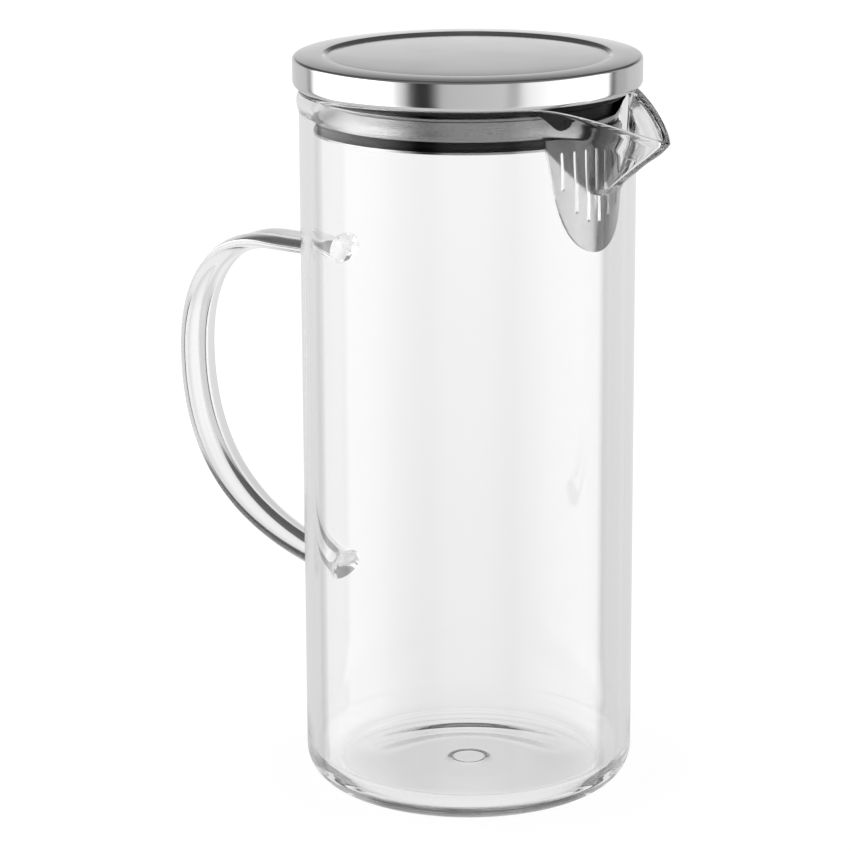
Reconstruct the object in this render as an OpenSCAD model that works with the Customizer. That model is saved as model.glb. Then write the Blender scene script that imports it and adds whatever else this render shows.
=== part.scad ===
// Glass pitcher with a lift-off steel lid.
// The origin is the centre of the base, on the plane that the jug stands on.
// +Z is up, the spout points along +X and the handle lies along -X.

/* [Jug] */
// Outside diameter of the glass body
body_d = 105; // [95:1:115]
// Thickness of the glass wall
wall_t = 2.8; // [2.4:0.1:3.2]
// Height of the rim above the table
jug_h = 225.2; // [205:1:245]
// Thickness of the glass at the floor
floor_t = 4; // [3:0.1:5]
// Outer radius of the bottom corner
corner_r = 10; // [8:0.5:12]
// Inner radius of the bottom corner
corner_in_r = 7; // [5:0.5:9]
// Width of the flat ring that the jug stands on
foot_w = 2.5; // [1.5:0.5:5]
// Height of the hollow inside that ring
push_up = 1; // [0.5:0.1:1.5]
// Radius of the level middle of the hollow
hollow_flat_r = 17; // [14:1:26]
// Radius of the mark at the middle of the base
dimple_r = 6.3; // [4:0.1:8]
// Depth of the mark at the middle of the base
dimple_depth = 0.8; // [0.4:0.1:1.2]
// How far the glass swells just below the rim
bead_out = 0.7; // [0.3:0.1:1]
// Height of that swelling
bead_h = 6; // [5:0.5:9]

/* [Spout] */
// How far the tip of the spout stands out of the body
spout_reach = 21.2; // [14:0.5:26]
// Depth of the spout's root below the rim
spout_h = 29; // [24:0.5:36]
// How far the tip lies below the rim
spout_dip = 10.4; // [7:0.1:14]
// Angle from the middle of the spout to where it leaves the round rim
spout_half_angle = 33; // [28:1:38]
// Thickness of the glass at the tip
spout_t = 2.2; // [1.8:0.1:2.8]

/* [Handle] */
// Height of the upper end of the handle
handle_top_z = 167.2; // [160:0.5:172]
// Height of the lower end of the handle
handle_low_z = 59.4; // [54:0.5:66]
// Distance from the body to the middle of the strap where it stands out furthest
handle_out = 59.3; // [50:0.5:66]
// Height at which the strap stands out furthest
handle_mid_z = 126; // [120:1:132]
// Length of the straight stretch at the upper end
handle_flat = 24; // [18:0.5:28]
// Width of the glass strap
strap_w = 15.6; // [14:0.1:18]
// Thickness of the strap at the upper bend
strap_t = 6.9; // [6:0.1:8]
// Thickness of the strap at its lower stretch
strap_low_t = 6.9; // [6:0.1:9]
// Depth of the long groove that is pressed into the strap's outer face
strap_groove = 2.1; // [1:0.1:2.6]
// Half width of that groove
strap_groove_w = 4; // [2.5:0.1:5]
// Height of the pads by which the strap is fused to the body
pad_h = 10; // [9:0.5:14]
// Width of those pads
pad_w = 17.2; // [16:0.1:21]

/* [Lid cap] */
// How far the cap stands out over the glass body
cap_over = 1.85; // [1.4:0.05:3]
// Height of the cap
cap_h = 9.75; // [8:0.05:14]
// Thickness of the steel sheet
sheet_t = 0.6; // [0.5:0.05:0.8]
// Width of the raised ring around the sunk disc on top
cap_ring_w = 9.65; // [7:0.05:14]
// Depth of the sunk disc
recess_depth = 0.8; // [0.6:0.1:1.4]
// How much higher the middle of the sunk disc lies than its edge
disc_crown = 0.55; // [0.3:0.05:0.7]
// How far the raised ring falls towards the cap's edge
ring_fall = 0.35; // [0.1:0.05:0.5]
// Radius of the cap's upper edge
cap_edge_r = 1; // [0.7:0.1:1.4]
// Radius of the inward curl at the cap's lower edge
curl_r = 2; // [1.4:0.1:2.4]
// Width of the flat lip that is folded in at the cap's lower edge
fold_w = 1; // [0.8:0.1:1.2]
// Gap between that lip and the level of the glass rim
fold_gap = 0.05; // [0.05:0.05:0.2]
// Thickness of the plate that closes the cap from below
plate_t = 1; // [0.8:0.1:2]
// Clearance of that plate inside the folded lip
plate_clearance = 0.1; // [0.05:0.05:0.2]
// Gap between that plate and the glass rim
rim_gap = 0.2; // [0.1:0.05:0.3]

/* [Lid insert] */
// Width of the insert between its bore and the lower edge of its band
insert_w = 3.3; // [2.8:0.1:5]
// Thickness of the insert's neck
neck_t = 1.1; // [0.9:0.05:1.4]
// Gap between the upper edge of the conical band and the glass
band_clearance = 0.5; // [0.4:0.1:1]
// How much narrower the band is at its lower edge than at its upper edge
band_taper = 2.5; // [1.5:0.1:3]
// Height of the conical band
band_h = 7.1; // [5:0.1:8]
// Height of the small light land along the band's upper edge
land_h = 0.9; // [0.5:0.1:1.2]
// Depth of the fine groove under that land
groove_depth = 0.35; // [0.2:0.05:0.5]
// Height of the ledge that is left in front of the spout
ledge_h = 2.7; // [2:0.1:3.5]
// Width of the scoop in the band, across its floor
scoop_w = 28; // [22:0.5:34]
// Length of the S-shaped rise at each end of the scoop
scoop_rise = 14.4; // [8:0.2:16]

/* [Seals] */
// Height of the sealing lip under the lid
lip_h = 2.7; // [1.8:0.1:3]
// Clearance between the sealing lip and the glass
lip_clearance = 0.3; // [0.25:0.05:0.5]
// Thickness of the sleeve behind the sealing lip
sleeve_t = 1; // [0.8:0.05:1.2]
// Running clearance between the seal and the insert
seal_clearance = 0.08; // [0.05:0.01:0.1]
// Height of the dark ring under the band
lower_ring_h = 2.9; // [2:0.1:3.5]
// How far the dark ring stands out of the band's lower edge
lower_ring_out = 0.3; // [0.1:0.1:0.6]

/* [Strainer] */
// How far the strainer stands out of the band's lower edge
strainer_out = 1.3; // [0.2:0.1:1.8]
// Thickness of the strainer's steel sheet
strainer_t = 0.7; // [0.5:0.05:0.9]
// Height of the strainer's collar inside the insert
collar_h = 4.6; // [3:0.1:6]
// Clearance of that collar in the insert
collar_clearance = 0.05; // [0.02:0.01:0.08]
// Width of the tongue at its root
tongue_w = 41.4; // [36:0.2:46]
// Length of the tongue below its ring
tongue_l = 33.6; // [28:0.2:40]
// How far the tongue's sheet reaches up in front of the dark ring
tongue_rise = 2.6; // [1:0.1:2.8]
// Number of drain slots
slot_count = 7; // [3:2:7]
// Angle between neighbouring slots
slot_pitch = 6.2; // [5.6:0.1:6.6]
// Width of a slot
slot_w = 1.5; // [1.2:0.1:2.4]
// Solid sheet left between a slot and the tongue's edge
slot_margin = 9; // [6:0.2:10]

/* [Hidden] */
$fn = 96;

// One overrun serves all cuts
over = 1;
// Overlap of the moulded spout patch with the round tube
seam_over = 0.6;
// How far the patch's faces lie inside the tube's where they meet, and at the end of the overlap
seam_inset = 0.05;
seam_end_inset = 0.5;

body_r = body_d / 2;
bore_r = body_r - wall_t;

// The arc of the bead below the rim: its radius, from its height and swelling
bead_r = (pow(bead_h / 2, 2) + pow(bead_out, 2)) / (2 * bead_out);
// The bead ends where the rim's rounding starts, and its middle lies this far below the rim
bead_drop = (wall_t + bead_h) / 2;

// Levels in the lid, from the rim upwards
plate_z = jug_h + rim_gap;
cap_low_z = jug_h + fold_gap;
cap_top_z = cap_low_z + cap_h;
cap_r = body_r + cap_over;
fold_r = cap_r - curl_r;
// Levels in the lid, from the rim downwards
band_top_z = plate_z - lip_h - 2 * seal_clearance;
band_low_z = band_top_z - band_h;
ledge_z = band_low_z + ledge_h;
insert_low_z = band_low_z - lower_ring_h;
band_top_r = bore_r - band_clearance;
band_low_r = band_top_r - band_taper;
insert_r = band_low_r - insert_w;
neck_r = insert_r + neck_t;
sleeve_in_r = neck_r + seal_clearance;
sleeve_out_r = sleeve_in_r + sleeve_t;
lower_ring_r = band_low_r + lower_ring_out;
strainer_r = band_low_r + strainer_out;
tongue_top_z = insert_low_z - strainer_t;

// Shares of the spout's shape
spout_tip_round_share = 0.055;
rim_bulge_power_share = 1.7;
rim_dip_power_share = 1.9;
groove_power_share = 0.5;
column_crowding_share = 1.3;
tongue_power_share = 2.1;
tongue_flare_share = 0.45;
// Divisions of the spout patch, across and up
spout_columns = 36;
spout_rows = 13;
rim_steps = 6;
bead_steps = 6;
// The patch reaches this share of the spout's half angle past its ends
patch_over_share = 0.06;
// The outline's steps on each side of the tongue and of the scoop
outline_steps = 14;
// Angle between the points of a folded sheet's edge
fold_step = 15;
// The wall's slope is taken over this angle and this share of its thickness
slope_angle = 1;
slope_share = 0.25;

function bead(drop) =
    let (off = drop - bead_drop)
    abs(off) < bead_h / 2 ? sqrt(pow(bead_r, 2) - pow(off, 2)) - (bead_r - bead_out) : 0;

// How far a place of the rim lies towards the tip: 0 at the end of the spout, 1 at its middle
function spout_share(angle) =
    let (flat = spout_half_angle * spout_tip_round_share)
    let (soft = sqrt(pow(angle, 2) + pow(flat, 2)) - flat)
    max(0, 1 - soft / (spout_half_angle - flat));

function rim_z(angle) = jug_h - spout_dip * pow(spout_share(angle), rim_dip_power_share);

// How far the outer face stands out of the round body at an angle and a height
function spout_out(angle, z) =
    let (root = jug_h - spout_h)
    let (rise = max(0, (z - root) / (rim_z(angle) - wall_t / 2 - root)))
    let (half = spout_half_angle * pow(rise, groove_power_share))
    let (flat = half * spout_tip_round_share)
    let (soft = sqrt(pow(angle, 2) + pow(flat, 2)) - flat)
    rise <= 0 || half <= soft ? 0
    : spout_reach * rise * pow(1 - soft / half, rim_bulge_power_share);

function outer_r(angle, z) = body_r + bead(rim_z(angle) - z) + spout_out(angle, z);

// Wall thickness measured level, so that the sloping glass keeps its true thickness
function level_t(angle, z) =
    let (out = spout_out(angle, z))
    let (step = wall_t * slope_share)
    let (slope = (out - spout_out(angle, z - step)) / step)
    let (change = spout_out(angle + slope_angle, z) - spout_out(angle - slope_angle, z))
    let (side = change / (body_r + out) * 180 / PI / (2 * slope_angle))
    let (glass = wall_t + (spout_t - wall_t) * min(1, out / spout_reach))
    glass * sqrt(1 + pow(slope, 2) + pow(side, 2));

function inner_r(angle, z) = body_r + spout_out(angle, z) - level_t(angle, z);

// The rim's rounding as [radius, height], from the outside over to the inside
function rim_arc(r_out, r_in, shoulder, inset) =
    [for (i = [1:rim_steps - 1]) let (a = 180 * i / rim_steps)
        [(r_out + r_in) / 2 + (r_out - r_in) / 2 * cos(a), shoulder + (wall_t / 2 - inset) * sin(a)]];

// Section of the wall at one angle, as [radius, height], up the outside, over the rim, down the inside
function wall_section(angle, inset) =
    let (top = rim_z(angle))
    let (shoulder = top - wall_t / 2)
    let (low_z = jug_h - spout_h - seam_over - seam_inset)
    let (levels = [for (i = [0:spout_rows]) low_z + (shoulder - low_z) * i / spout_rows])
    let (outside = [for (z = levels) [outer_r(angle, z) - inset, z]])
    let (inside = [for (i = [spout_rows:-1:0]) [inner_r(angle, levels[i]) + inset, levels[i]]])
    concat(
        [[body_r - seam_end_inset, low_z - seam_over]],
        outside,
        rim_arc(outside[spout_rows][0], inside[0][0], shoulder, inset),
        inside,
        [[bore_r + seam_end_inset, low_z - seam_over]]
    );

// Triangles across one end of a sweep, from each point to the one opposite it
function end_faces(first, sides) =
    [for (j = [0:ceil(sides / 2) - 2])
        let (a = first + j, b = first + sides - 1 - j)
        each b - a > 2 ? [[a, b - 1, a + 1], [a, b, b - 1]] : [[a, b, a + 1]]];

// Solid swept through sections that all have the same number of points
module skin(sections) {
    rings = len(sections);
    sides = len(sections[0]);
    points = [for (section = sections) each section];
    walls = [for (i = [0:rings - 2]) for (j = [0:sides - 1])
        let (a = i * sides + j, b = i * sides + (j + 1) % sides)
        each [[a, b, b + sides], [a, b + sides, a + sides]]];
    start = end_faces(0, sides);
    finish = [for (f = end_faces((rings - 1) * sides, sides)) [f[0], f[2], f[1]]];
    polyhedron(points, concat(walls, start, finish), convexity = 6);
}

// Angle of the patch's last section, inside the tube's wall
patch_angle = spout_half_angle * (1 + patch_over_share);

function placed_section(angle, inset) =
    [for (p = wall_section(angle, inset)) [p[0] * cos(angle), p[0] * sin(angle), p[1]]];

module spout_patch() {
    seam_angle = spout_half_angle + asin(seam_inset / body_r);
    skin(concat(
        [placed_section(-patch_angle, seam_end_inset)],
        [for (i = [0:spout_columns])
            let (s = 2 * i / spout_columns - 1)
            placed_section(seam_angle * sign(s) * pow(abs(s), column_crowding_share), seam_inset)],
        [placed_section(patch_angle, seam_end_inset)]
    ));
}

// Half section of a round-bottomed cylinder
module cup_section(radius, corner, height) {
    translate([0, corner]) square([radius, height - corner]);
    square([radius - corner, corner]);
    intersection() {
        translate([radius - corner, corner]) circle(corner);
        square([radius, corner]);
    }
}

module tube_section() {
    shoulder = jug_h - wall_t / 2;
    low_z = jug_h - spout_h;
    hollow_r = body_r - corner_r - foot_w;
    difference() {
        union() {
            cup_section(body_r, corner_r, low_z);
            polygon(concat(
                [[0, low_z - corner_r], [body_r, low_z - corner_r]],
                [for (i = [0:bead_steps]) let (z = shoulder - bead_h + bead_h * i / bead_steps)
                    [body_r + bead(jug_h - z), z]],
                rim_arc(body_r, bore_r, shoulder, 0),
                [[bore_r, shoulder], [0, shoulder]]));
        }
        translate([0, floor_t + push_up]) cup_section(bore_r, corner_in_r, jug_h);
        polygon([[0, -over], [hollow_r + over, -over], [hollow_r, 0], [hollow_flat_r, push_up],
            [0, push_up]]);
        square([dimple_r, push_up + dimple_depth]);
    }
}

module glass_body() {
    color("lightcyan", 0.35) union() {
        difference() {
            rotate_extrude() tube_section();
            rotate([0, 0, -spout_half_angle]) rotate_extrude(angle = 2 * spout_half_angle)
                translate([bore_r - over, jug_h - spout_h - seam_over])
                    square([wall_t + bead_out + 2 * over, spout_h + 2 * over]);
        }
        spout_patch();
    }
}

function bezier(a, b, c, d, t) =
    pow(1 - t, 3) * a + 3 * t * pow(1 - t, 2) * b + 3 * pow(t, 2) * (1 - t) * c + pow(t, 3) * d;

// The strap's centre line as [distance from the axis, height]
handle_far = body_r + handle_out;
handle_root = body_r - wall_t;
handle_bend = body_r + handle_flat;
upper_pull_share = 0.62;
upper_drop_share = 0.6;
lower_drop_share = 0.53;
lower_pull_share = 0.7;
lower_rise_share = 0.13;
crown_steps = 4;
flat_steps = 4;
handle_steps = 16;
strap_sides = 36;
handle_line = concat(
    [for (i = [0:flat_steps - 1])
        [handle_root + (handle_bend - handle_root) * i / flat_steps, handle_top_z]],
    [for (i = [0:handle_steps]) bezier(
        [handle_bend, handle_top_z],
        [handle_bend + (handle_far - handle_bend) * upper_pull_share, handle_top_z],
        [handle_far, handle_mid_z + (handle_top_z - handle_mid_z) * upper_drop_share],
        [handle_far, handle_mid_z], i / handle_steps)],
    [for (i = [1:handle_steps]) bezier(
        [handle_far, handle_mid_z],
        [handle_far, handle_mid_z - (handle_mid_z - handle_low_z) * lower_drop_share],
        [body_r + handle_out * lower_pull_share,
            handle_low_z + (handle_mid_z - handle_low_z) * lower_rise_share],
        [handle_root, handle_low_z], i / handle_steps)]
);

// How much a place on the strap belongs to a fused pad: 1 at the wall, 0 a pad's height away
function pad_share(r) = pow(max(0, 1 - (r - body_r) / pad_h), 2);

function strap_section(i) =
    let (here = handle_line[i])
    let (last = len(handle_line) - 1)
    let (ahead = handle_line[min(last, i + 1)] - handle_line[max(0, i - 1)])
    let (way = i == 0 ? [1, 0] : ahead / norm(ahead))
    let (up = [-way[1], way[0]])
    let (along = i / last)
    let (plain_t = strap_t + (strap_low_t - strap_t) * pow(sin(90 * along), 2))
    let (pad = pad_share(here[0]))
    let (t = plain_t + (pad_h - plain_t) * pad)
    let (w = strap_w + (pad_w - strap_w) * pad)
    [for (j = [0:strap_sides - 1])
        let (a = 360 * j / strap_sides)
        let (side = w / 2 * cos(a))
        let (depth = strap_groove * (1 - pad) * exp(-pow(side / strap_groove_w, 2)))
        let (out = t / 2 * sin(a) - depth * max(0, min(1, 3 * sin(a))))
        [-here[0] - up[0] * out, side, here[1] + up[1] * out]];

module handle() {
    color("lightcyan", 0.35) difference() {
        skin([for (i = [0:len(handle_line) - 1]) strap_section(i)]);
        cylinder(r = body_r, h = jug_h);
    }
}

// Sheet outline of the cap as [radius, height], at a distance in from its outer face
function cap_outline(inset) =
    let (ring_r = cap_r - cap_ring_w)
    concat(
        [for (i = [0:crown_steps]) [(ring_r - recess_depth) * i / crown_steps,
            cap_top_z - recess_depth - inset + disc_crown * (1 - pow(i / crown_steps, 2))]],
        [[ring_r - recess_depth / 4 - inset / 2, cap_top_z - recess_depth / 4 - inset],
         [ring_r + recess_depth / 4, cap_top_z - inset],
         [(ring_r + cap_r) / 2, cap_top_z - ring_fall / 4 - inset]],
        [for (a = [90:-fold_step:0]) [cap_r - cap_edge_r + (cap_edge_r - inset) * cos(a),
            cap_top_z - ring_fall - cap_edge_r + (cap_edge_r - inset) * sin(a)]],
        [for (a = [0:-fold_step:-90]) [fold_r + (curl_r - inset) * cos(a),
            cap_low_z + curl_r + (curl_r - inset) * sin(a)]],
        [[fold_r - fold_w, cap_low_z + inset]]
    );

module lid_cap() {
    outer = cap_outline(0);
    inner = cap_outline(sheet_t);
    color("silver") rotate_extrude() polygon(concat(outer, [for (i = [len(inner) - 1:-1:0]) inner[i]]));
}

// The plate lies on the cap's folded lip and reaches down inside it, over the glass rim
module lid_underplate() {
    lip_z = cap_low_z + sheet_t;
    inside_r = fold_r - fold_w - plate_clearance;
    color("silver") rotate_extrude() polygon([
        [0, plate_z], [inside_r, plate_z], [inside_r, lip_z], [fold_r, lip_z],
        [fold_r, lip_z + plate_t], [0, lip_z + plate_t]]);
}

module insert_ring() {
    groove_z = band_top_z - land_h;
    groove_r = band_low_r + band_taper * (groove_z - band_low_z) / band_h;
    ring_r = lower_ring_r - lower_ring_h / 2;
    rotate_extrude() polygon([
        [insert_r, insert_low_z], [ring_r, insert_low_z], [ring_r, band_low_z], [band_low_r, band_low_z],
        [groove_r - groove_depth, groove_z - groove_depth], [groove_r, groove_z],
        [band_top_r, band_top_z - land_h / 3], [band_top_r - land_h / 3, band_top_z],
        [sleeve_out_r + seal_clearance, band_top_z], [sleeve_out_r + seal_clearance, ledge_z],
        [neck_r, ledge_z], [neck_r, plate_z], [insert_r, plate_z]]);
}

// One side of the scoop, as [distance from its middle, height], rising in an S
function scoop_side() =
    [for (i = [0:outline_steps]) let (s = i / outline_steps)
        [scoop_w / 2 + scoop_rise * s, ledge_z + (band_top_z + over - ledge_z) * (1 - cos(180 * s)) / 2]];

module scoop_cut() {
    side = scoop_side();
    difference() {
        rotate([90, 0, 90]) linear_extrude(body_r)
            polygon(concat([for (p = side) p], [for (i = [outline_steps:-1:0]) [-side[i][0], side[i][1]]]));
        cylinder(r = sleeve_out_r, h = jug_h + over);
    }
}

module lid_insert() {
    color("gainsboro") difference() {
        insert_ring();
        scoop_cut();
    }
}

module seal_ring() {
    lip_r = bore_r - lip_clearance;
    low_z = ledge_z + seal_clearance;
    lip_z = band_top_z + seal_clearance;
    top_z = plate_z - seal_clearance;
    color("dimgray") rotate_extrude() polygon([
        [sleeve_in_r, low_z], [sleeve_out_r, low_z], [sleeve_out_r, lip_z],
        [lip_r - lip_h / 3, lip_z], [lip_r, lip_z + lip_h / 4], [lip_r, top_z - lip_h / 3],
        [lip_r - lip_h / 4, top_z], [sleeve_in_r, top_z]]);
}

module lower_ring() {
    half = lower_ring_h / 2;
    inside = lower_ring_r - half;
    color("dimgray") rotate_extrude() intersection() {
        translate([inside, insert_low_z + half]) circle(half);
        translate([inside, insert_low_z]) square([half, lower_ring_h]);
    }
}

// Height of the tongue's edge over its lowest point, at a distance from its middle: round below, flared above
function tongue_edge(side) =
    let (out = min(1, abs(side) / (tongue_w / 2)))
        tongue_l * (1 - pow(1 - pow(out, 2), 1 / tongue_power_share + tongue_flare_share * pow(out, 6)));

module tongue_outline() {
    low = tongue_top_z - tongue_l;
    high = tongue_top_z + strainer_t + tongue_rise;
    polygon(concat(
        [[-tongue_w / 2, high]],
        [for (i = [-outline_steps:outline_steps])
            let (side = tongue_w / 2 * sin(90 * i / outline_steps)) [side, low + tongue_edge(side)]],
        [[tongue_w / 2, high]]
    ));
}

module drain_slot(angle) {
    side = strainer_r * sin(angle);
    low = tongue_top_z - tongue_l + tongue_edge(side) + slot_margin + slot_w / 2;
    high = tongue_top_z - slot_w;
    rotate([0, 0, angle]) translate([strainer_r - 3 * strainer_t, 0, 0]) rotate([90, 0, 90])
        linear_extrude(6 * strainer_t) union() {
            translate([-slot_w / 2, low]) square([slot_w, high - low]);
            translate([0, low]) circle(slot_w / 2);
            translate([0, high]) circle(slot_w / 2);
        }
}

module strainer() {
    collar_r = insert_r - collar_clearance;
    middle = (slot_count - 1) / 2;
    color("silver") union() {
        rotate_extrude() union() {
            translate([collar_r - strainer_t, tongue_top_z])
                square([strainer_r - collar_r + strainer_t, strainer_t]);
            translate([collar_r - strainer_t, tongue_top_z]) square([strainer_t, collar_h + strainer_t]);
        }
        difference() {
            intersection() {
                rotate_extrude() translate([strainer_r - strainer_t, tongue_top_z - tongue_l])
                    square([strainer_t, tongue_l + strainer_t + tongue_rise]);
                rotate([90, 0, 90]) linear_extrude(body_r) tongue_outline();
            }
            for (i = [0:slot_count - 1]) drain_slot((i - middle) * slot_pitch);
        }
    }
}

glass_body();
handle();
seal_ring();
lid_cap();
lid_underplate();
lid_insert();
lower_ring();
strainer();
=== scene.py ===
"""Looks of the glass pitcher: the joined glass, the steel cap, the materials and a plain studio."""
from math import cos, degrees, exp, pi, radians, sin, sqrt

import bmesh
import bpy
from mathutils import Matrix, Vector


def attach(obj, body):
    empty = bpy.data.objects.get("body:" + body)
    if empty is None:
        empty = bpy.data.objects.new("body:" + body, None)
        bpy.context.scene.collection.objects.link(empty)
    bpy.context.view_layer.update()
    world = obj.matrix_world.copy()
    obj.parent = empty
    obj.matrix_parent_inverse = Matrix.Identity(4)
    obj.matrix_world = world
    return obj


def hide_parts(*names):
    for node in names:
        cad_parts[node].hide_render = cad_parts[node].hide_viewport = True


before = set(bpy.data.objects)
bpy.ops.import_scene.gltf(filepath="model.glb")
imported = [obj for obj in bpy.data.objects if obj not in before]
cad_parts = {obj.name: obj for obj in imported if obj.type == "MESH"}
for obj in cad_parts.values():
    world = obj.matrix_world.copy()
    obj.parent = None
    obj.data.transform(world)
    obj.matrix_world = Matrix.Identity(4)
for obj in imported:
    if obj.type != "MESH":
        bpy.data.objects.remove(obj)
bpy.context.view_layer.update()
MM = 0.001

# Sizes of the glass body, as in the part's source, in millimetres
BODY_R = 52.5
WALL_T = 2.8
BORE_R = BODY_R - WALL_T
JUG_H = 225.2
FLOOR_T = 4.0
CORNER_R = 10.0
CORNER_IN_R = 7.0
FOOT_W = 2.5
HOLLOW_FLAT_R = 17.0
PUSH_UP = 1.0
DIMPLE_R = 6.3
DIMPLE_DEPTH = 0.8
BEAD_OUT = 0.7
BEAD_H = 6.0
BEAD_R = ((BEAD_H / 2) ** 2 + BEAD_OUT ** 2) / (2 * BEAD_OUT)
BEAD_DROP = (WALL_T + BEAD_H) / 2

# The spout, with angles in degrees
SPOUT_REACH = 21.2
SPOUT_H = 29.0
SPOUT_DIP = 10.4
SPOUT_HALF = 33.0
SPOUT_T = 2.2
SPOUT_ROOT = JUG_H - SPOUT_H
SPOUT_TIP_ROUND_SHARE = 0.055
RIM_BULGE_POWER = 1.7
RIM_DIP_POWER = 1.9
GROOVE_POWER = 0.5
# The wall's slope is taken over this angle and this share of its thickness
SLOPE_ANGLE = 1
SLOPE_SHARE = 0.25

# Finer forms of the base than in the part's source: a middle and a ring in the dimple, a ridge on the floor
DIMPLE_MIDDLE_R = 5.0
DIMPLE_MIDDLE_SHARE = 0.35
DIMPLE_STEP_SHARE = 0.6
DIMPLE_RING_SHARE = 0.6
DIMPLE_RING_IN = 0.6
DIMPLE_RING_W = 0.5
# Distances outside the dimple of the first two points of the hollow's level glass
LEVEL_START = 0.9
LEVEL_NEXT = 2.0
# The ridge: its height, its place in from the end of the corner, its width and its points
RIDGE_H = 0.2
RIDGE_IN = 0.9
RIDGE_W = 0.4
RIDGE_STEP = 0.2
RIDGE_POINTS = 12
# Gaps between the last point of one run of the outline and the first of the next
FOOT_MARGIN = 0.6
WALL_MARGIN = 4.0
RIDGE_MARGIN = 0.3
FLOOR_MARGIN = 3.0

# Points of the glass's outline, and sections round the body: evenly spread, and crowded over the spout
SPOUT_ROWS = 40
RIM_STEPS = 12
DIMPLE_STEPS = 24
EASE_STEPS = 24
WALL_STEPS = 30
COARSE_STEPS = 200
FINE_STEPS = 140
CROWDING_POWER = 1.35
SPOUT_MARGIN = 1.0

# The handle
HANDLE_TOP_Z = 167.2
HANDLE_LOW_Z = 59.4
HANDLE_OUT = 59.3
HANDLE_MID_Z = 126.0
HANDLE_FLAT = 24.0
UPPER_PULL_SHARE = 0.62
UPPER_RISE_SHARE = 0.6
LOWER_FALL_SHARE = 0.53
LOWER_PULL_SHARE = 0.7
LOWER_RISE_SHARE = 0.13
STRAP_W = 15.6
STRAP_T = 6.9
STRAP_GROOVE = 2.1
STRAP_GROOVE_W = 4.0
# The groove is at its full depth once the outer face has risen by one part in this many
GROOVE_STEEPNESS = 3
PAD_H = 10.0
PAD_W = 17.2
FLAT_STEPS = 30
UPPER_STEPS = 60
LOWER_STEPS = 80
STRAP_SIDES = 96

# Sizes of the cap, as in the part's source
CAP_R = BODY_R + 1.85
CAP_LOW_Z = JUG_H + 0.05
CAP_TOP_Z = CAP_LOW_Z + 9.75
SHEET_T = 0.6
CAP_RING_W = 9.65
RECESS_DEPTH = 0.8
DISC_CROWN = 0.55
RING_FALL = 0.35
CAP_EDGE_R = 1.0
CURL_R = 2.0
FOLD_W = 1.0
# Finer forms of the cap: the disc's crown, which drops faster at its edge, and the eased step up to the ring
CROWN_ROUND_SHARE = 0.7
CROWN_EDGE_SHARE = 0.3
CROWN_EDGE_POWER = 9
STEP_IN = 1.3
STEP_W = 1.8
EDGE_START_ANGLE = 86
SKIRT_MARGIN = 0.3
DISC_STEPS = 36
STEP_STEPS = 16
RING_STEPS = 12
CAP_SIDES = 360

# Edges sharper than this angle in degrees stay sharp
SHARP_ANGLE = 35


def bead(drop):
    """Swelling of the glass at a distance below the rim."""
    off = drop - BEAD_DROP
    if abs(off) >= BEAD_H / 2:
        return 0.0
    return sqrt(BEAD_R ** 2 - off ** 2) - (BEAD_R - BEAD_OUT)


def softened(angle, half):
    """An angle's size, rounded off near zero."""
    flat = half * SPOUT_TIP_ROUND_SHARE
    return sqrt(angle ** 2 + flat ** 2) - flat


def rim_z(angle):
    """Height of the rim, which dips over the spout."""
    flat = SPOUT_HALF * SPOUT_TIP_ROUND_SHARE
    share = max(0.0, 1 - softened(angle, SPOUT_HALF) / (SPOUT_HALF - flat))
    return JUG_H - SPOUT_DIP * share ** RIM_DIP_POWER


def spout_out(angle, z):
    """How far the outer face stands out of the round body."""
    rise = max(0.0, (z - SPOUT_ROOT) / (rim_z(angle) - WALL_T / 2 - SPOUT_ROOT))
    half = SPOUT_HALF * rise ** GROOVE_POWER
    soft = softened(angle, half)
    if half <= soft:
        return 0.0
    return SPOUT_REACH * rise * (1 - soft / half) ** RIM_BULGE_POWER


def level_t(angle, z):
    """Wall thickness measured level, so that sloping glass keeps its true thickness."""
    out = spout_out(angle, z)
    step = WALL_T * SLOPE_SHARE
    slope = (out - spout_out(angle, z - step)) / step
    change = spout_out(angle + SLOPE_ANGLE, z) - spout_out(angle - SLOPE_ANGLE, z)
    side = degrees(change) / (BODY_R + out) / (2 * SLOPE_ANGLE)
    glass_t = WALL_T + (SPOUT_T - WALL_T) * min(1.0, out / SPOUT_REACH)
    return glass_t * sqrt(1 + slope ** 2 + side ** 2)


def arc(centre, radius, start, stop, steps):
    """Points on an arc as (radius, height), angles in degrees."""
    turns = [radians(start + (stop - start) * i / steps) for i in range(steps + 1)]
    return [(centre[0] + radius * cos(turn), centre[1] + radius * sin(turn)) for turn in turns]


def line(a, b, steps):
    """Points from a to b, without the last one."""
    return [(a[0] + (b[0] - a[0]) * i / steps, a[1] + (b[1] - a[1]) * i / steps) for i in range(steps)]


def dimple_z(r):
    """Height of the dimple's glass: a level middle, a step down and a ring near the edge."""
    middle = DIMPLE_MIDDLE_SHARE if r < DIMPLE_R - DIMPLE_RING_IN else 0
    step = 1 if r < DIMPLE_MIDDLE_R else DIMPLE_STEP_SHARE
    ring = exp(-((r - DIMPLE_R + DIMPLE_RING_IN) / DIMPLE_RING_W) ** 2)
    return PUSH_UP + DIMPLE_DEPTH * middle * step + DIMPLE_RING_SHARE * DIMPLE_DEPTH * ring


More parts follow.
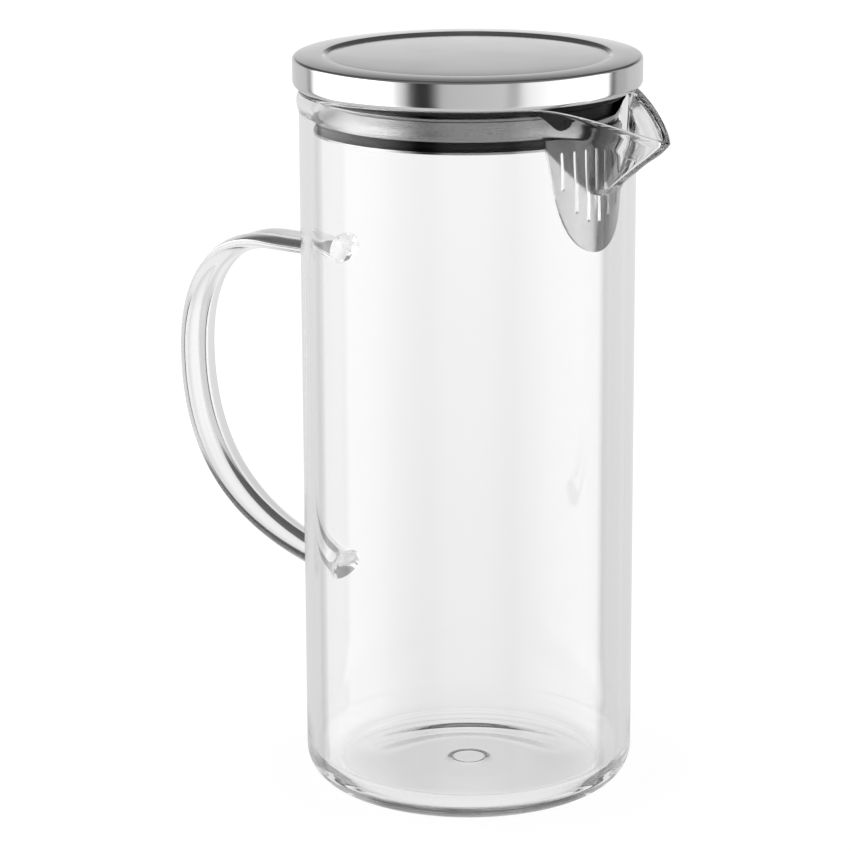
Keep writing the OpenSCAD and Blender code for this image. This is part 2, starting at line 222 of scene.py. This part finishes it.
def underside():
    """The outline from the dimple over the hollow and the foot ring to the top of the outer corner."""
    hollow_r = BODY_R - CORNER_R - FOOT_W
    dimple = [(r, dimple_z(r)) for r in [DIMPLE_R * i / DIMPLE_STEPS for i in range(1, DIMPLE_STEPS)]]
    level = line((DIMPLE_R + LEVEL_NEXT, PUSH_UP), (HOLLOW_FLAT_R, PUSH_UP), 8)
    ease = [(HOLLOW_FLAT_R + (hollow_r - HOLLOW_FLAT_R) * i / EASE_STEPS,
             PUSH_UP * (1 + cos(pi * i / EASE_STEPS)) / 2) for i in range(EASE_STEPS + 1)]
    foot = line((hollow_r + FOOT_MARGIN, 0), (BODY_R - CORNER_R, 0), 3)
    corner = arc((BODY_R - CORNER_R, CORNER_R), CORNER_R, -90, 0, 20)
    return dimple + [(DIMPLE_R + LEVEL_START, PUSH_UP)] + level + ease + foot + corner


def inner_floor():
    """The outline from the inner corner over the ridge to the middle of the floor."""
    floor_z = FLOOR_T + PUSH_UP
    corner = arc((BORE_R - CORNER_IN_R, floor_z + CORNER_IN_R), CORNER_IN_R, 0, -90, 16)
    edge = BORE_R - CORNER_IN_R - RIDGE_MARGIN
    steps = [RIDGE_STEP * i for i in range(RIDGE_POINTS)]
    ridge = [(edge - step, floor_z + RIDGE_H * exp(-((step - RIDGE_IN) / RIDGE_W) ** 2)) for step in steps]
    return corner + ridge + line((edge - FLOOR_MARGIN, floor_z), (0, floor_z), 12)


def glass_section(angle):
    """The glass at one angle as (radius, height), from the middle of the base to the middle of the floor."""
    shoulder = rim_z(angle) - WALL_T / 2
    levels = [SPOUT_ROOT + (shoulder - SPOUT_ROOT) * i / SPOUT_ROWS for i in range(SPOUT_ROWS + 1)]
    outside = [(BODY_R + bead(rim_z(angle) - z) + spout_out(angle, z), z) for z in levels]
    inside = [(BODY_R + spout_out(angle, z) - level_t(angle, z), z) for z in reversed(levels)]
    middle = (outside[-1][0] + inside[0][0]) / 2
    half = (outside[-1][0] - inside[0][0]) / 2
    turns = [pi * i / RIM_STEPS for i in range(1, RIM_STEPS)]
    rim = [(middle + half * cos(turn), shoulder + WALL_T / 2 * sin(turn)) for turn in turns]
    wall = line((BODY_R, CORNER_R + WALL_MARGIN), (BODY_R, SPOUT_ROOT), WALL_STEPS)
    bore_low_z = FLOOR_T + PUSH_UP + CORNER_IN_R + WALL_MARGIN
    bore = line((BORE_R, SPOUT_ROOT), (BORE_R, bore_low_z), WALL_STEPS)[1:]
    return underside() + wall + outside + rim + inside + bore + inner_floor()


def section_angles():
    """Angles round the body, closer together over the spout."""
    half = SPOUT_HALF + SPOUT_MARGIN
    shares = [2 * i / FINE_STEPS - 1 for i in range(FINE_STEPS)]
    fine = [half * abs(share) ** CROWDING_POWER * (1 if share > 0 else -1) for share in shares]
    coarse = [half + (360 - 2 * half) * i / COARSE_STEPS for i in range(COARSE_STEPS)]
    return fine + coarse


def new_object(name, shape):
    """An object in the scene from a finished shape, with its faces turned outwards."""
    bmesh.ops.recalc_face_normals(shape, faces=shape.faces)
    mesh = bpy.data.meshes.new(name)
    shape.to_mesh(mesh)
    shape.free()
    made = bpy.data.objects.new(name, mesh)
    bpy.context.scene.collection.objects.link(made)
    return made


def grid_faces(shape, rings, close_rings, close_points):
    """Quads between rings of vertices that all have the same number of points."""
    count = len(rings)
    points = len(rings[0])
    for i in range(count if close_rings else count - 1):
        a = rings[i]
        b = rings[(i + 1) % count]
        for j in range(points if close_points else points - 1):
            k = (j + 1) % points
            shape.faces.new((a[j], b[j], b[k], a[k]))


def turn_round(shape, outlines, turns, first_z, last_z):
    """A closed body from an outline of (radius, height) at each angle. Both ends meet a point on the axis."""
    rings = []
    for outline, turn in zip(outlines, turns):
        rings.append([shape.verts.new((r * cos(turn) * MM, r * sin(turn) * MM, z * MM)) for r, z in outline])
    grid_faces(shape, rings, True, False)
    first = shape.verts.new((0, 0, first_z * MM))
    last = shape.verts.new((0, 0, last_z * MM))
    for i, ring in enumerate(rings):
        after = rings[(i + 1) % len(rings)]
        shape.faces.new((first, after[0], ring[0]))
        shape.faces.new((last, ring[-1], after[-1]))


def make_body():
    shape = bmesh.new()
    angles = section_angles()
    sections = [glass_section(angle) for angle in angles]
    turns = [radians(angle) for angle in angles]
    turn_round(shape, sections, turns, PUSH_UP + DIMPLE_DEPTH * DIMPLE_MIDDLE_SHARE, FLOOR_T + PUSH_UP)
    return new_object("pitcher_glass", shape)


def bezier(a, b, c, d, t):
    return tuple((1 - t) ** 3 * p + 3 * t * (1 - t) ** 2 * q + 3 * t ** 2 * (1 - t) * r + t ** 3 * s
                 for p, q, r, s in zip(a, b, c, d))


def handle_line():
    """Centre line of the strap as (distance from the axis, height)."""
    root = BODY_R - WALL_T / 2
    bend = BODY_R + HANDLE_FLAT
    far = BODY_R + HANDLE_OUT
    rise = HANDLE_TOP_Z - HANDLE_MID_Z
    fall = HANDLE_MID_Z - HANDLE_LOW_Z
    upper = ((bend, HANDLE_TOP_Z), (bend + (far - bend) * UPPER_PULL_SHARE, HANDLE_TOP_Z),
             (far, HANDLE_MID_Z + rise * UPPER_RISE_SHARE), (far, HANDLE_MID_Z))
    lower = ((far, HANDLE_MID_Z), (far, HANDLE_MID_Z - fall * LOWER_FALL_SHARE),
             (BODY_R + HANDLE_OUT * LOWER_PULL_SHARE, HANDLE_LOW_Z + fall * LOWER_RISE_SHARE),
             (BODY_R - WALL_T, HANDLE_LOW_Z))
    # The strap ends just before the bore, inside the wall
    return (line((root, HANDLE_TOP_Z), (bend, HANDLE_TOP_Z), FLAT_STEPS)
            + [bezier(*upper, i / UPPER_STEPS) for i in range(UPPER_STEPS + 1)]
            + [bezier(*lower, i / LOWER_STEPS) for i in range(1, LOWER_STEPS - 1)])


def strap_outline(turn, wide, thick, pad):
    """A point of the strap's section: an oval with a long groove pressed into its outer face."""
    across = wide / 2 * cos(turn)
    depth = STRAP_GROOVE * (1 - pad) * exp(-(across / STRAP_GROOVE_W) ** 2)
    return across, thick / 2 * sin(turn) - depth * max(0.0, min(1.0, GROOVE_STEEPNESS * sin(turn)))


def make_handle():
    shape = bmesh.new()
    path = handle_line()
    last = len(path) - 1
    rings = []
    for i, here in enumerate(path):
        before = path[max(0, i - 1)]
        after = path[min(last, i + 1)]
        size = sqrt((after[0] - before[0]) ** 2 + (after[1] - before[1]) ** 2)
        up = (-(after[1] - before[1]) / size, (after[0] - before[0]) / size)
        pad = min(1.0, max(0.0, 1 - (here[0] - BODY_R) / PAD_H) ** 2)
        thick = STRAP_T + (PAD_H - STRAP_T) * pad
        wide = STRAP_W + (PAD_W - STRAP_W) * pad
        ring = []
        for j in range(STRAP_SIDES):
            across, along = strap_outline(2 * pi * j / STRAP_SIDES, wide, thick, pad)
            r = here[0] + up[0] * along
            z = here[1] + up[1] * along
            ring.append(shape.verts.new((-r * MM, across * MM, z * MM)))
        rings.append(ring)
    grid_faces(shape, rings, False, True)
    shape.faces.new(rings[0])
    shape.faces.new(list(reversed(rings[-1])))
    return new_object("pitcher_strap", shape)


def smooth(piece):
    for polygon in piece.data.polygons:
        polygon.use_smooth = True
    piece.data.set_sharp_from_angle(angle=radians(SHARP_ANGLE))


def in_fixed_order(mesh):
    """A copy of a mesh with sorted points and faces, since fusing may number them anew on each run."""
    order = sorted(range(len(mesh.vertices)), key=lambda i: tuple(mesh.vertices[i].co))
    place = {old: new for new, old in enumerate(order)}
    faces = sorted(tuple(place[i] for i in polygon.vertices) for polygon in mesh.polygons)
    made = bpy.data.meshes.new(mesh.name)
    made.from_pydata([mesh.vertices[i].co for i in order], [], faces)
    return made


def join_solids(body, strap):
    """The strap fused to the body, as one closed surface."""
    union = body.modifiers.new("fused", "BOOLEAN")
    union.operation = "UNION"
    union.solver = "EXACT"
    union.object = strap
    graph = bpy.context.evaluated_depsgraph_get()
    joined = bpy.data.meshes.new_from_object(body.evaluated_get(graph))
    body.modifiers.clear()
    body.data = in_fixed_order(joined)
    bpy.data.meshes.remove(joined)
    bpy.data.objects.remove(strap)


def cap_outline(inset):
    """The cap's sheet as (radius, height), at a distance in from its outer face."""
    high = CAP_TOP_Z - inset
    low = high - RECESS_DEPTH
    disc_r = CAP_R - CAP_RING_W - STEP_IN - inset / 2
    disc = []
    for i in range(DISC_STEPS):
        out = i / DISC_STEPS
        crown = 1 - CROWN_ROUND_SHARE * out ** 2 - CROWN_EDGE_SHARE * out ** CROWN_EDGE_POWER
        disc.append((disc_r * out, low + DISC_CROWN * crown))
    step = [(disc_r + STEP_W * i / STEP_STEPS, low + RECESS_DEPTH * (1 - cos(pi * i / STEP_STEPS)) / 2)
            for i in range(STEP_STEPS + 1)]
    ring_r = disc_r + STEP_W
    edge_r = CAP_R - CAP_EDGE_R
    edge_z = CAP_TOP_Z - RING_FALL - CAP_EDGE_R
    ring = [(ring_r + (edge_r - ring_r) * i / RING_STEPS, high - RING_FALL * (i / RING_STEPS) ** 2)
            for i in range(1, RING_STEPS)]
    fold_r = CAP_R - CURL_R
    skirt_r = CAP_R - inset
    return (disc + step + ring + arc((edge_r, edge_z), CAP_EDGE_R - inset, EDGE_START_ANGLE, 0, 10)
            + line((skirt_r, edge_z - SKIRT_MARGIN), (skirt_r, CAP_LOW_Z + CURL_R), 6)
            + arc((fold_r, CAP_LOW_Z + CURL_R), CURL_R - inset, 0, -90, 14)
            + [(fold_r - FOLD_W, CAP_LOW_Z + inset)])


def make_cap():
    shape = bmesh.new()
    outline = cap_outline(0) + list(reversed(cap_outline(SHEET_T)))
    turns = [2 * pi * i / CAP_SIDES for i in range(CAP_SIDES)]
    turn_round(shape, [outline[1:-1]] * CAP_SIDES, turns, outline[0][1], outline[-1][1])
    return new_object("steel_cap", shape)


# Material nodes

def new_material(name, **values):
    """A new material whose shader's own sockets hold the given values."""
    made = bpy.data.materials.new(name)
    made.use_nodes = True
    shader = made.node_tree.nodes["Principled BSDF"]
    for socket, value in values.items():
        shader.inputs[socket.replace("_", " ")].default_value = value
    return made, made.node_tree, shader


def node(tree, kind, **settings):
    """A new node, with settings for its sockets and its own properties."""
    made = tree.nodes.new(kind)
    for key, value in settings.items():
        if key in made.inputs:
            made.inputs[key].default_value = value
        else:
            setattr(made, key, value)
    return made


def feed(tree, socket, value):
    """A number set on a socket, or another node's output linked to it."""
    if isinstance(value, (int, float)):
        socket.default_value = value
    else:
        tree.links.new(value, socket)


def calculate(tree, operation, *values):
    made = node(tree, "ShaderNodeMath", operation=operation)
    for socket, value in zip(made.inputs, values):
        feed(tree, socket, value)
    return made.outputs[0]


def mix(tree, share, a, b):
    made = node(tree, "ShaderNodeMix", data_type="FLOAT")
    for socket, value in (("Factor", share), ("A", a), ("B", b)):
        feed(tree, made.inputs[socket], value)
    return made.outputs["Result"]


def ramp(tree, value, low, high, from_low=0.0, from_high=1.0):
    made = node(tree, "ShaderNodeMapRange")
    made.inputs["From Min"].default_value = from_low
    made.inputs["From Max"].default_value = from_high
    made.inputs["To Min"].default_value = low
    made.inputs["To Max"].default_value = high
    tree.links.new(value, made.inputs["Value"])
    return made.outputs["Result"]


def eased(tree, value, start, stop):
    """0 at start and 1 at stop, given in degrees for a value in radians."""
    made = node(tree, "ShaderNodeMapRange", interpolation_type="SMOOTHSTEP")
    made.inputs["From Min"].default_value = radians(start)
    made.inputs["From Max"].default_value = radians(stop)
    tree.links.new(value, made.inputs["Value"])
    return made.outputs["Result"]


def noise(tree, vector, scale, detail, roughness=0.5):
    made = node(tree, "ShaderNodeTexNoise", Scale=scale, Detail=detail, Roughness=roughness)
    tree.links.new(vector, made.inputs["Vector"])
    return made.outputs["Fac"]


def object_place(tree):
    return node(tree, "ShaderNodeTexCoord").outputs["Object"]


def split(tree, vector):
    """The three outputs X, Y and Z of a vector."""
    made = node(tree, "ShaderNodeSeparateXYZ")
    tree.links.new(vector, made.inputs[0])
    return made.outputs


def length(tree, vector):
    made = node(tree, "ShaderNodeVectorMath", operation="LENGTH")
    tree.links.new(vector, made.inputs[0])
    return made.outputs["Value"]


def stretched(tree, scale):
    """Object coordinates scaled by a vector."""
    made = node(tree, "ShaderNodeMapping", Scale=scale)
    tree.links.new(object_place(tree), made.inputs["Vector"])
    return made.outputs["Vector"]


def polar(tree, radius_scale, height_scale):
    """Coordinates that run with the radius and the height, for the marks of turning."""
    place = split(tree, object_place(tree))
    flat = node(tree, "ShaderNodeCombineXYZ")
    tree.links.new(place["X"], flat.inputs["X"])
    tree.links.new(place["Y"], flat.inputs["Y"])
    joined = node(tree, "ShaderNodeCombineXYZ")
    radius = calculate(tree, "MULTIPLY", length(tree, flat.outputs[0]), radius_scale)
    tree.links.new(radius, joined.inputs["X"])
    tree.links.new(calculate(tree, "MULTIPLY", place["Z"], height_scale), joined.inputs["Y"])
    return joined.outputs[0]


def add_bump(tree, shader, height, strength, distance):
    bump = node(tree, "ShaderNodeBump", Strength=strength, Distance=distance)
    tree.links.new(height, bump.inputs["Height"])
    tree.links.new(bump.outputs["Normal"], shader.inputs["Normal"])


# Materials: stretching of the noise that runs along the object, and the plain one
ALONG = (1, 1, 0.25)
EVEN = (1, 1, 1)
DARK_STEEL = (0.31, 0.31, 0.313)
# Painted shade: the darker steel colour that the tongue takes where it lies behind the spout's flare
PAINTED_SHADE_STEEL = (0.08, 0.08, 0.082)
# The painted shade on the tongue lies above a curve: its lowest height in metres, its bow and its power
PAINTED_SHADE_Z = 0.1962
PAINTED_SHADE_BOW = 5.2
PAINTED_SHADE_POWER = 1.5
PAINTED_SHADE_EDGE = (-0.0004, 0.0005)


def glass_material():
    """Clear glass with a faint waviness and a faint film. Its head-on reflections are weakened."""
    made, tree, shader = new_material("clear_glass_look", Base_Color=(0.985, 0.986, 0.985, 1), IOR=1.474,
                                      Specular_Tint=(0.28, 0.28, 0.28, 1), Transmission_Weight=1.0)
    wavy = noise(tree, stretched(tree, ALONG), 34, 1.0, 0.4)
    add_bump(tree, shader, wavy, 0.06, 0.0008)
    film = noise(tree, stretched(tree, EVEN), 60, 5.0, 0.6)
    tree.links.new(ramp(tree, film, 0.0, 0.012, 0.45, 0.8), shader.inputs["Roughness"])
    return made


def steel_material(name, colour, rough_low, rough_high, bump, ring_scale):
    """Steel with the fine rings of turning and a cloudy polish, as (material, tree, shader)."""
    made, tree, shader = new_material(name, Base_Color=(*colour, 1), Metallic=1.0)
    rings = noise(tree, polar(tree, ring_scale, ring_scale * 0.4), 1.0, 3.0, 0.6)
    cloud = noise(tree, stretched(tree, EVEN), 45, 4.0, 0.55)
    mixed = calculate(tree, "MULTIPLY_ADD", rings, 0.5, cloud)
    tree.links.new(ramp(tree, mixed, rough_low, rough_high, 0.5, 1.0), shader.inputs["Roughness"])
    add_bump(tree, shader, rings, bump, 0.00002)
    return made, tree, shader


def strainer_material():
    """Satin steel, with painted shade: darker where the tongue lies behind the flare of the spout."""
    made, tree, shader = steel_material("strainer_steel_painted_shade_look", DARK_STEEL, 0.1, 0.18, 0.1, 5000.0)
    place = split(tree, object_place(tree))
    across = calculate(tree, "ABSOLUTE", place["Y"])
    bow = calculate(tree, "MULTIPLY", calculate(tree, "POWER", across, PAINTED_SHADE_POWER), PAINTED_SHADE_BOW)
    above = calculate(tree, "SUBTRACT", calculate(tree, "SUBTRACT", place["Z"], bow), PAINTED_SHADE_Z)
    # Painted shade: above the curve the colour turns from the steel's own to the darker steel
    painted_shade = node(tree, "ShaderNodeMix", data_type="RGBA")
    tree.links.new(ramp(tree, above, 0.0, 1.0, *PAINTED_SHADE_EDGE), painted_shade.inputs["Factor"])
    painted_shade.inputs["A"].default_value = (*DARK_STEEL, 1)
    painted_shade.inputs["B"].default_value = (*PAINTED_SHADE_STEEL, 1)
    tree.links.new(painted_shade.outputs["Result"], shader.inputs["Base Color"])
    return made


def silicone_material():
    made, tree, shader = new_material("dark_silicone_look", Base_Color=(0.005, 0.005, 0.0055, 1), IOR=1.42,
                                      Specular_IOR_Level=0.12)
    dust = noise(tree, stretched(tree, EVEN), 260, 6.0, 0.6)
    tree.links.new(ramp(tree, dust, 0.38, 0.56), shader.inputs["Roughness"])
    add_bump(tree, shader, noise(tree, stretched(tree, EVEN), 2400, 3.0), 0.25, 0.00005)
    return made


def dress(piece, material):
    piece.data.materials.clear()
    piece.data.materials.append(material)


# The pieces

glass = make_body()
join_solids(glass, make_handle())
smooth(glass)
dress(glass, glass_material())
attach(glass, "jug")
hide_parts("glass_body", "handle")

cap = make_cap()
smooth(cap)
dress(cap, steel_material("polished_cap_look", (0.64, 0.64, 0.645), 0.09, 0.17, 0.18, 9000.0)[0])
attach(cap, "lid")
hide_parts("lid_cap")

satin = steel_material("satin_steel_look", (0.3, 0.3, 0.303), 0.2, 0.3, 0.12, 5000.0)[0]
plain = steel_material("plain_steel_look", (0.6, 0.6, 0.605), 0.18, 0.3, 0.2, 9000.0)[0]
silicone = silicone_material()
LOOKS = {"lid_underplate": plain, "lid_insert": satin, "strainer": strainer_material(),
         "lower_ring": silicone, "seal_ring": silicone}
for name, look in LOOKS.items():
    dress(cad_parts[name], look)


# The studio: camera, light around and floor, in metres and radians unless a comment says degrees

CAMERA_AZIMUTH = radians(-54.45)
CAMERA_DISTANCE = 1.0394
CAMERA_HEIGHT = 0.39606
CAMERA_PITCH = 0.25075
CAMERA_YAW = 0.01301
CAMERA_ROLL = -0.00502
CAMERA_LENS = 143.07
CAMERA_SHIFT_Y = -0.051

# Light round the horizon: (degrees from the camera's side, to the right in its picture, strength)
PANELS = ((-180, 0.75), (-131, 0.75), (-129.5, 0.15), (-124.5, 0.15), (-121, 1.6), (-96, 3), (-80, 3.4),
          (-66, 3.6), (-57, 2.6), (-51, 1.8), (-46, 1.14), (-41, 0.8), (-38, 0.2), (-33, 0.04), (-25, 0.04),
          (-21, 0.25), (-17, 0.68), (-12, 0.74), (19, 0.82), (24, 0.86), (27.5, 0.62), (32, 0.6), (36, 1.15),
          (40, 1.34), (53, 1.55), (70, 2.0), (88, 2.3), (105, 1.9), (106.5, 0.12), (111.5, 0.12), (113, 0.6),
          (180, 0.75))
# The pale backdrop opposite the camera: (elevation in degrees, strength)
BACKDROP = ((-90, 0.82), (-40, 0.82), (-21, 0.86), (-16, 0.9), (-9, 0.96), (4, 0.97), (6, 0.9), (9, 0.74),
            (12, 0.54), (15, 0.32), (20, 0.14), (36, 0.12), (60, 0.12), (90, 0.2))
BRIGHTEST = 4.0
OVERHEAD = 0.22
FROM_BELOW = 0.85
BACKDROP_SIDES = 0.8
# The panels' strength for rays that leave the glass
THROUGH_GLASS = 1.0
# Where one light passes into the next, in degrees of elevation, or away from the camera's direction
PANELS_FADE = (14, 40)
BACKDROP_EDGE = (125, 131)
BACKDROP_MIDDLE = (169, 181)
BELOW_EDGE = (-30, -42)

FLOOR_DROP = 0.00002
FLOOR_RINGS = (0.02, 0.3, 1.0, 2.5)
FLOOR_SIDES = 64
FLOOR_GLOW = 1.07
# The floor takes on the background's white between these distances
GLOW_REACH = (0.06, 0.2)
GLOW_SHARE = (0.9, 1.0)
LIGHT_BOUNCES = 128


def make_camera():
    camera = bpy.data.objects.new("camera", bpy.data.cameras.new("camera"))
    bpy.context.scene.collection.objects.link(camera)
    bpy.context.scene.camera = camera
    camera.data.lens = CAMERA_LENS
    camera.data.shift_y = CAMERA_SHIFT_Y
    camera.location = (CAMERA_DISTANCE * cos(CAMERA_AZIMUTH), CAMERA_DISTANCE * sin(CAMERA_AZIMUTH),
                       CAMERA_HEIGHT)
    heading = CAMERA_AZIMUTH + pi + CAMERA_YAW
    level = cos(CAMERA_PITCH)
    ahead = Vector((cos(heading) * level, sin(heading) * level, -sin(CAMERA_PITCH)))
    roll = Matrix.Rotation(CAMERA_ROLL, 3, "Z").to_quaternion()
    camera.rotation_mode = "QUATERNION"
    camera.rotation_quaternion = ahead.to_track_quat("-Z", "Y") @ roll


def strengths(tree, value, span, stops):
    """Strength over a range of angles, from (degrees, strength) and a value that is 0.5 at 0 degrees."""
    made = node(tree, "ShaderNodeValToRGB")
    elements = made.color_ramp.elements
    elements.remove(elements[-1])
    for i, (angle, level) in enumerate(stops):
        place = angle / span + 0.5
        element = elements[0] if i == 0 else elements.new(place)
        element.position = place
        element.color = (level / BRIGHTEST, level / BRIGHTEST, level / BRIGHTEST, 1)
    tree.links.new(value, made.inputs["Fac"])
    return calculate(tree, "MULTIPLY", made.outputs["Color"], BRIGHTEST)


def make_world():
    """Bright panels at both sides of the camera, and a pale backdrop opposite it. The camera sees white."""
    world = bpy.data.worlds.new("studio")
    bpy.context.scene.world = world
    world.use_nodes = True
    sky = world.node_tree
    background = sky.nodes["Background"]
    way = node(sky, "ShaderNodeTexCoord").outputs["Generated"]
    turned = node(sky, "ShaderNodeVectorRotate", rotation_type="Z_AXIS", Angle=-CAMERA_AZIMUTH)
    sky.links.new(way, turned.inputs["Vector"])
    parts = split(sky, turned.outputs[0])
    bearing = calculate(sky, "ARCTAN2", parts["Y"], parts["X"])
    side = calculate(sky, "ABSOLUTE", bearing)
    height = calculate(sky, "ARCSINE", parts["Z"])

    around = calculate(sky, "MULTIPLY_ADD", bearing, 1 / (2 * pi), 0.5)
    panels = strengths(sky, around, 360, PANELS)
    panels = mix(sky, eased(sky, height, *PANELS_FADE), panels, OVERHEAD)
    # The steel mirrors the panels at full strength, and the glass stays readable against them
    path = node(sky, "ShaderNodeLightPath").outputs
    mirrored_once = calculate(sky, "COMPARE", path["Glossy Depth"], 1.0, 0.5)
    dimmed = calculate(sky, "MULTIPLY", path["Is Transmission Ray"],
                       calculate(sky, "SUBTRACT", 1.0, mirrored_once))
    panels = mix(sky, dimmed, panels, calculate(sky, "MINIMUM", panels, THROUGH_GLASS))

    upright = calculate(sky, "MULTIPLY_ADD", height, 1 / pi, 0.5)
    backdrop = strengths(sky, upright, 180, BACKDROP)
    middle = mix(sky, eased(sky, side, *BACKDROP_MIDDLE), BACKDROP_SIDES, 1.0)
    backdrop = calculate(sky, "MULTIPLY", backdrop, middle)

    studio = mix(sky, eased(sky, side, *BACKDROP_EDGE), panels, backdrop)
    studio = mix(sky, eased(sky, height, *BELOW_EDGE), studio, FROM_BELOW)
    background.inputs["Color"].default_value = (1, 1, 1, 1)
    sky.links.new(mix(sky, path["Is Camera Ray"], studio, 1.0), background.inputs["Strength"])


def floor_material():
    """A pale floor that keeps the object's shadow, and turns into the white background further out."""
    made, tree, shader = new_material("pale_floor", Roughness=0.6, Base_Color=(0.86, 0.86, 0.86, 1))
    glow = node(tree, "ShaderNodeEmission", Color=(1, 1, 1, 1), Strength=FLOOR_GLOW)
    fade = ramp(tree, length(tree, object_place(tree)), *GLOW_SHARE, *GLOW_REACH)
    seen = node(tree, "ShaderNodeLightPath").outputs["Is Camera Ray"]
    blend = node(tree, "ShaderNodeMixShader")
    tree.links.new(calculate(tree, "MULTIPLY", fade, seen), blend.inputs[0])
    tree.links.new(shader.outputs[0], blend.inputs[1])
    tree.links.new(glow.outputs[0], blend.inputs[2])
    tree.links.new(blend.outputs[0], tree.nodes["Material Output"].inputs["Surface"])
    return made


def make_floor():
    shape = bmesh.new()
    turns = [2 * pi * i / FLOOR_SIDES for i in range(FLOOR_SIDES)]
    rings = [[shape.verts.new((r * cos(turn), r * sin(turn), -FLOOR_DROP)) for turn in turns]
             for r in FLOOR_RINGS]
    grid_faces(shape, rings, False, True)
    shape.faces.new(rings[0])
    floor = new_object("floor", shape)
    dress(floor, floor_material())
    floor.visible_glossy = False
    floor.visible_transmission = False


def set_view():
    """Plain colours, and enough bounces for the light that the spout's thick rim holds for long."""
    scene = bpy.context.scene
    scene.view_settings.view_transform = "Standard"
    scene.cycles.use_denoising = True
    scene.cycles.max_bounces = LIGHT_BOUNCES
    scene.cycles.transmission_bounces = LIGHT_BOUNCES
    scene.cycles.glossy_bounces = LIGHT_BOUNCES
    scene.cycles.transparent_max_bounces = 16


make_camera()
make_world()
make_floor()
set_view()
